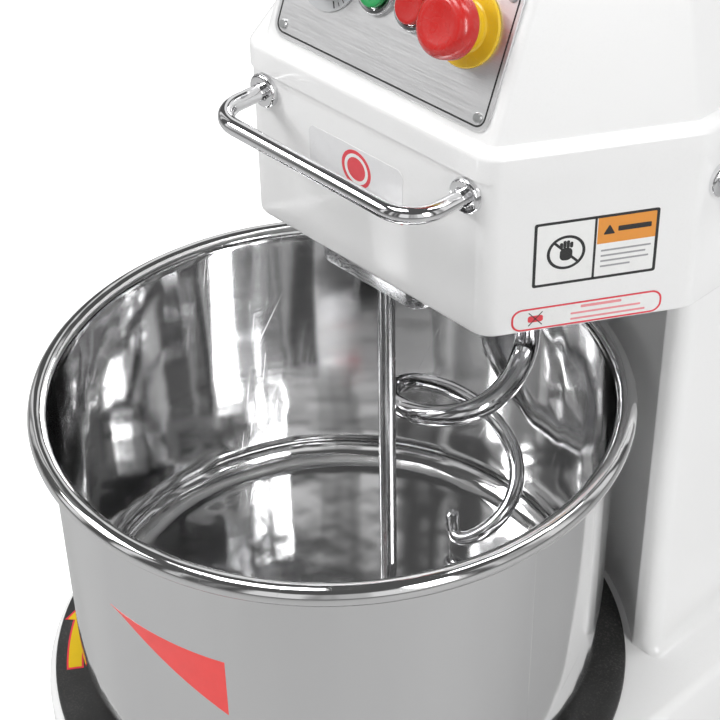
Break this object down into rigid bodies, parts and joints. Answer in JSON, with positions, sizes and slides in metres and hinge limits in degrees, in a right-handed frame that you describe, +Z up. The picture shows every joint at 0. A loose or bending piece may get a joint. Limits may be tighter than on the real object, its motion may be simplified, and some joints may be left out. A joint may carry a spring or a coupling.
{
  "type": "spiral dough mixer",
  "caption": "Free-standing spiral dough mixer: white body on a round-fronted plinth, turning steel bowl, spiral hook and breaker bar under a fixed head.",
  "frame": {"origin": "centre of the footprint on the floor", "axes": "+Z up, -Y towards the front where the bowl stands, +X to the machine's right as drawn"},
  "size_m": [0.4254, 0.7, 0.752],
  "materials": {
    "white_paint": "smooth semi-gloss white enamel",
    "rear_cover_paint": "smooth semi-gloss white enamel",
    "polished_steel": "polished stainless steel with fine turning marks",
    "chrome": "bright chrome plate",
    "stainless": "drawn stainless steel",
    "machined_steel": "turned steel",
    "brushed_plate": "brushed aluminium",
    "zinc_fasteners": "zinc plated",
    "cast_iron": "cast, machined faces",
    "bearing_steel": "ground steel",
    "oiled_steel": "oiled steel",
    "frame_paint": "dark primer",
    "gearbox_paint": "blue-grey machine enamel",
    "cowl_paint": "black enamel",
    "black_deck": "black moulded plastic, semi-gloss",
    "rubber": "moulded rubber",
    "black_plastic": "moulded black plastic",
    "dial_face": "printed dial plate",
    "green_plastic": "gloss green",
    "red_plastic": "gloss red",
    "yellow_plastic": "gloss yellow",
    "lamp_lens": "clear white lens",
    "grey_box": "grey enclosure"
  },
  "bodies": {
    "body": {"bowl_bearing_housing": "cast_iron", "bowl_bearings": "bearing_steel", "bracket_bolts": "zinc_fasteners", "breaker_bar": "stainless", "breaker_bar_bracket": "stainless", "button_bezels": "black_plastic", "cable_gland": "black_plastic", "chassis": "frame_paint", "column_shell": "white_paint", "column_uprights": "frame_paint", "contact_blocks": "black_plastic", "control_panel": "brushed_plate", "cover_screws": "zinc_fasteners", "deck_ring": "black_deck", "drive_bolts": "zinc_fasteners", "electrical_box": "grey_box", "electrical_box_lid": "grey_box", "estop_collar": "yellow_plastic", "foot_bolts": "zinc_fasteners", "front_handle": "chrome", "gearbox": "gearbox_paint", "gearbox_rails": "frame_paint", "handle_rosettes": "chrome", "head_carrier_plate": "frame_paint", "head_lower_shell": "white_paint", "head_top_cover": "white_paint", "left_handle": "chrome", "lower_chain": "oiled_steel", "main_shaft_bearings": "bearing_steel", "motor": "gearbox_paint", "motor_fan_cowl": "cowl_paint", "panel_screws": "zinc_fasteners", "pilot_lamp": "lamp_lens", "plinth_shell": "white_paint", "rear_cover": "rear_cover_paint", "right_handle": "chrome", "rubber_feet": "rubber", "spindle_bearings": "bearing_steel", "spindle_housing": "cast_iron", "spindle_seal_plate": "stainless", "timer_body": "black_plastic", "timer_dial": "dial_face", "upper_chain": "oiled_steel"},
    "turntable": {"bowl": "polished_steel", "bowl_turntable": "machined_steel", "bowl_bolts": "zinc_fasteners", "bowl_spindle": "machined_steel", "bowl_sprocket": "oiled_steel"},
    "spiral": {"spiral_hook": "chrome", "spiral_hub": "stainless", "spiral_spindle": "machined_steel", "spiral_sprocket": "oiled_steel"},
    "drive_shaft": {"main_shaft": "machined_steel", "lower_drive_sprocket": "oiled_steel", "upper_drive_sprocket": "oiled_steel"},
    "timer_knob": {"timer_knob": "black_plastic"},
    "start_button": {"start_button": "green_plastic"},
    "stop_button": {"stop_button": "red_plastic"},
    "estop_plunger": {"estop_plunger": "black_plastic"},
    "estop_mushroom": {"estop_mushroom": "red_plastic"}
  },
  "joints": [
    {"name": "bowl_spin", "type": "hinge", "parent": "body", "child": "turntable", "pos_m": [0, -0.146, 0.2], "axis": [0, 0, 1], "continuous": true},
    {"name": "main_shaft_spin", "type": "hinge", "parent": "body", "child": "drive_shaft", "pos_m": [0, 0.124, 0.3], "axis": [0, 0, 1], "continuous": true},
    {"name": "spiral_spin", "type": "hinge", "parent": "body", "child": "spiral", "pos_m": [0, -0.0305, 0.56], "axis": [0, 0, 1], "continuous": true},
    {"name": "timer_turn", "type": "hinge", "parent": "body", "child": "timer_knob", "pos_m": [-0.054, -0.09469, 0.70107], "axis": [0, 0.9272, -0.3746], "range_deg": [0, 300]},
    {"name": "start_press", "type": "slide", "parent": "body", "child": "start_button", "axis": [0, 0.9272, -0.3746], "range_m": [0, 0.003], "stiffness_N_per_m": 1500, "springref_m": -0.001},
    {"name": "stop_press", "type": "slide", "parent": "body", "child": "stop_button", "axis": [0, 0.9272, -0.3746], "range_m": [0, 0.003], "stiffness_N_per_m": 1500, "springref_m": -0.001},
    {"name": "estop_press", "type": "slide", "parent": "body", "child": "estop_plunger", "axis": [0, 0.9272, -0.3746], "range_m": [0, 0.005]},
    {"name": "estop_twist", "type": "hinge", "parent": "estop_plunger", "child": "estop_mushroom", "pos_m": [0.056, -0.10136, 0.70592], "axis": [0, 0.9272, -0.3746], "range_deg": [0, 45], "stiffness_Nm_per_rad": 0.05, "springref_deg": -5.73}
  ],
  "couplings": [
    {"joint": "main_shaft_spin", "follows": "bowl_spin", "ratio": 5},
    {"joint": "spiral_spin", "follows": "bowl_spin", "ratio": 10}
  ]
}
